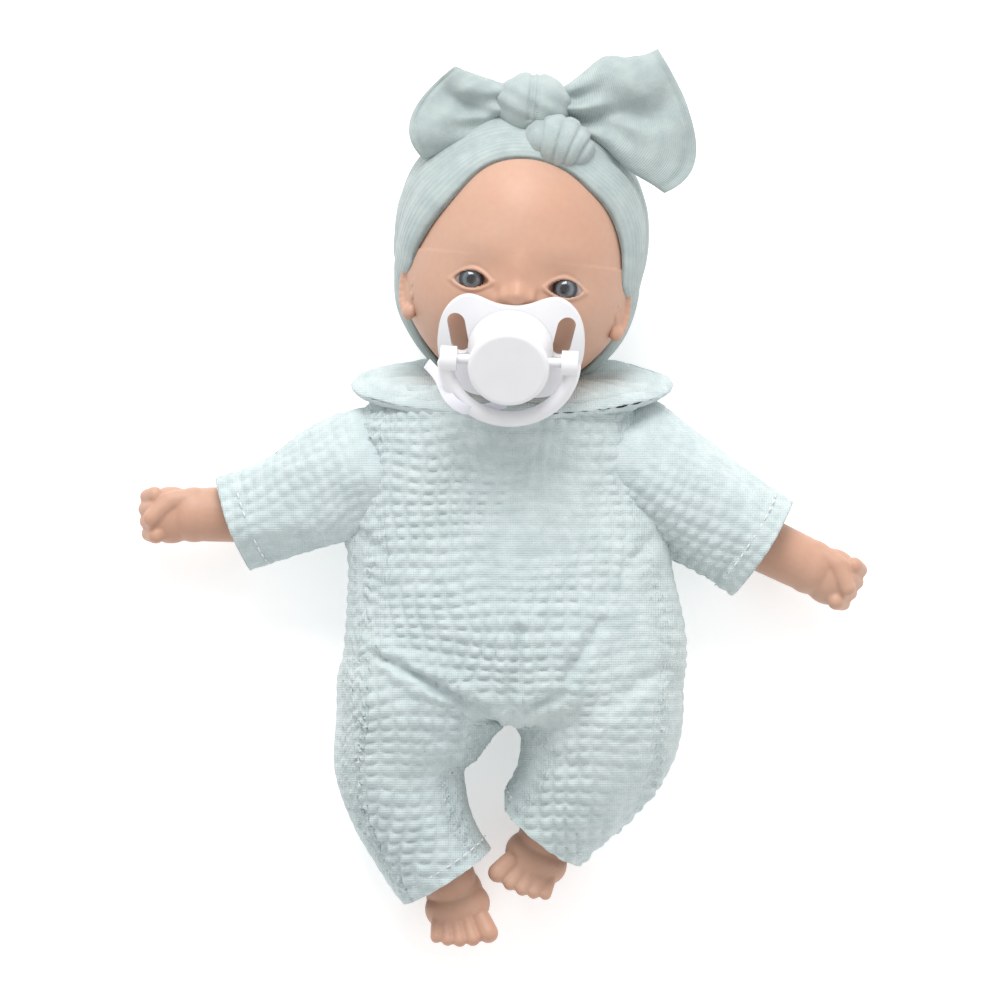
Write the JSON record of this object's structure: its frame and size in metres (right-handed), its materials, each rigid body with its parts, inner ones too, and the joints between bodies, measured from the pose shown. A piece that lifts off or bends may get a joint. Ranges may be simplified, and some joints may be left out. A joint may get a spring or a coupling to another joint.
{
  "type": "baby doll",
  "caption": "Soft-bodied baby doll lying on its back, with vinyl head, hands and feet, gauze romper, bow headband, pull-out pacifier and a sound module in the tummy.",
  "frame": {"origin": "middle of the overall box, on the surface that the doll's back rests on", "axes": "+Y from the feet to the head, +Z out of the chest, +X to the viewer's right"},
  "size_m": [0.2337, 0.2861, 0.096],
  "materials": {
    "gauze": "crinkled double gauze",
    "jersey": "ribbed jersey",
    "skin": "satin vinyl",
    "eyes": "polished",
    "white_plastic": "satin",
    "silicone": "clear silicone",
    "body_cloth": "plain weave, polyester filled",
    "ribbon": "satin",
    "tie_cord": "cotton cord",
    "case_plastic": "moulded",
    "steel": "plated",
    "board": "solder mask",
    "cell": "sleeved",
    "speaker_black": "moulded",
    "button_red": "moulded"
  },
  "bodies": {
    "torso": {"romper_torso": "gauze", "stuffed_body": "body_cloth", "romper_collar": "gauze", "neck_tie": "tie_cord", "back_press_studs": "white_plastic", "sound_case_front": "case_plastic", "sound_case_back": "case_plastic", "case_screws": "steel", "battery_cells": "cell", "battery_contacts": "steel", "circuit_board": "board", "speaker": "speaker_black", "speaker_gasket": "speaker_black", "button_spring": "steel"},
    "head": {"head_shell": "skin", "left_eye": "eyes", "right_eye": "eyes", "mouth_socket": "silicone", "headband_band": "jersey", "headband_knot": "jersey", "headband_wrap": "jersey", "headband_left_tail": "jersey", "headband_right_tail": "jersey"},
    "pacifier": {"pacifier_shield": "white_plastic", "pacifier_button": "white_plastic", "pacifier_teat": "silicone"},
    "pacifier_handle": {"pacifier_ring": "white_plastic", "pacifier_ribbon": "ribbon"},
    "tummy_button": {"press_button": "button_red"},
    "battery_lid": {"battery_door": "case_plastic", "door_screw": "steel"},
    "switch": {"power_switch": "speaker_black"},
    "left_arm": {"left_sleeve": "gauze", "left_upper_arm": "body_cloth", "left_arm_tie": "tie_cord"},
    "left_hand": {"left_forearm": "skin"},
    "left_leg": {"left_trouser_leg": "gauze", "left_thigh": "body_cloth", "left_leg_tie": "tie_cord"},
    "left_shin": {"left_foot": "skin"},
    "right_arm": {"right_sleeve": "gauze", "right_upper_arm": "body_cloth", "right_arm_tie": "tie_cord"},
    "right_hand": {"right_forearm": "skin"},
    "right_leg": {"right_trouser_leg": "gauze", "right_thigh": "body_cloth", "right_leg_tie": "tie_cord"},
    "right_shin": {"right_foot": "skin"}
  },
  "joints": [
    {"name": "head_turn", "type": "hinge", "parent": "torso", "child": "head", "pos_m": [0.0059, 0.077, 0.041], "axis": [0.1045, 0.9945, 0], "range_deg": [-20, 20]},
    {"name": "pacifier_pull", "type": "slide", "parent": "head", "child": "pacifier", "axis": [-0.0442, -0.4203, 0.9063], "range_m": [0, 0.03]},
    {"name": "pacifier_ring_swing", "type": "hinge", "parent": "pacifier", "child": "pacifier_handle", "pos_m": [0.00274, 0.04405, 0.08451], "axis": [-0.9987, 0.0414, -0.0295], "range_deg": [0, 110]},
    {"name": "tummy_button_press", "type": "slide", "parent": "torso", "child": "tummy_button", "axis": [0, 0, -1], "range_m": [0, 0.002], "stiffness_N_per_m": 400, "springref_m": -0.001, "deforming": ["button_spring"]},
    {"name": "battery_lid_lift", "type": "slide", "parent": "torso", "child": "battery_lid", "axis": [0, 0, -1], "range_m": [0, 0.007]},
    {"name": "power_switch_slide", "type": "slide", "parent": "torso", "child": "switch", "axis": [1, 0, 0], "range_m": [0, 0.003]},
    {"name": "left_arm_raise", "type": "hinge", "parent": "torso", "child": "left_arm", "pos_m": [-0.05, 0.0036, 0.027], "axis": [0, 0, -1], "range_deg": [-15, 35]},
    {"name": "left_forearm_twist", "type": "hinge", "parent": "left_arm", "child": "left_hand", "pos_m": [-0.07, -0.004, 0.021], "axis": [-0.9899, -0.0433, -0.1352], "range_deg": [-60, 60]},
    {"name": "left_leg_lift", "type": "hinge", "parent": "torso", "child": "left_leg", "pos_m": [-0.0276, -0.0642, 0.0265], "axis": [-1, 0, 0], "range_deg": [0, 68]},
    {"name": "left_foot_twist", "type": "hinge", "parent": "left_leg", "child": "left_shin", "pos_m": [-0.0265, -0.098, 0.021], "axis": [-0.3769, 0.9137, 0.1523], "range_deg": [0, 25]},
    {"name": "right_arm_raise", "type": "hinge", "parent": "torso", "child": "right_arm", "pos_m": [0.0515, 0.0064, 0.027], "axis": [0, 0, 1], "range_deg": [-15, 35]},
    {"name": "right_forearm_twist", "type": "hinge", "parent": "right_arm", "child": "right_hand", "pos_m": [0.07, -0.0075, 0.022], "axis": [0.8927, -0.4303, -0.1337], "range_deg": [-60, 60]},
    {"name": "right_leg_lift", "type": "hinge", "parent": "torso", "child": "right_leg", "pos_m": [0.0314, -0.0642, 0.0265], "axis": [-1, 0, 0], "range_deg": [0, 68]},
    {"name": "right_foot_twist", "type": "hinge", "parent": "right_leg", "child": "right_shin", "pos_m": [0.026, -0.088, 0.0215], "axis": [-0.5051, -0.8418, -0.1905], "range_deg": [0, 25]}
  ]
}
